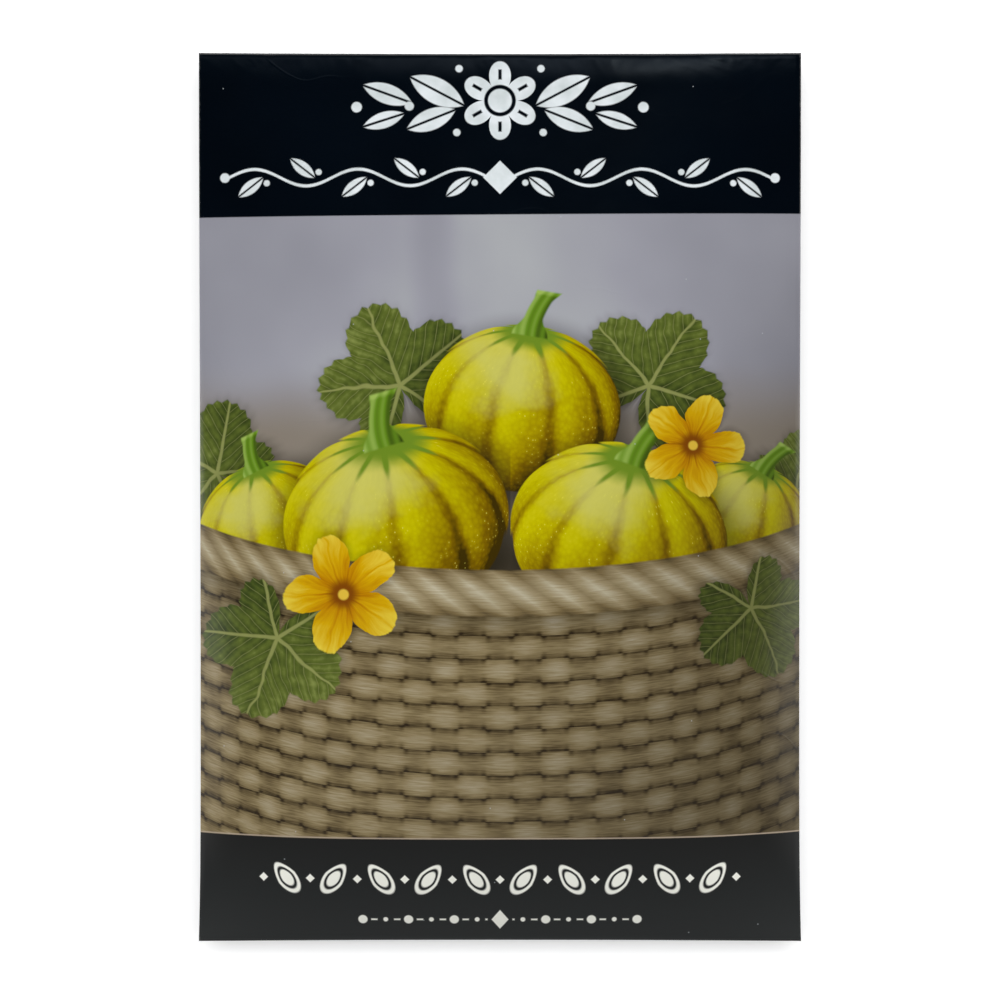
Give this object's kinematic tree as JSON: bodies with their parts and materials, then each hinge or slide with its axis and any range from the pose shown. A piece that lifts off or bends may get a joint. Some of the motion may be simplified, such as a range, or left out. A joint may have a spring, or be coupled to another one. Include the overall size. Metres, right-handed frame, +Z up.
{
  "type": "seed packet",
  "caption": "Sealed paper seed packet lying flat: one folded, glued sheet with a glossy printed front, flaps glued on the back, and loose flat squash seeds inside.",
  "frame": {"origin": "under the middle of the packet, on the surface that it lies on", "axes": "+Z up, out of the printed front; +Y to the top edge of the front; +X to the right of the front as it is read"},
  "size_m": [0.0826, 0.1216, 0.0071],
  "materials": {
    "coated_paper": "gloss",
    "seed_coat": "satin"
  },
  "bodies": {
    "root": {"envelope": "coated_paper", "seed_01": "seed_coat", "seed_02": "seed_coat", "seed_03": "seed_coat", "seed_04": "seed_coat", "seed_05": "seed_coat", "seed_06": "seed_coat", "seed_07": "seed_coat", "seed_08": "seed_coat", "seed_09": "seed_coat", "seed_10": "seed_coat", "seed_11": "seed_coat", "seed_12": "seed_coat", "seed_13": "seed_coat", "seed_14": "seed_coat", "seed_15": "seed_coat", "seed_16": "seed_coat", "seed_17": "seed_coat", "seed_18": "seed_coat", "seed_19": "seed_coat", "seed_20": "seed_coat"}
  },
  "joints": []
}
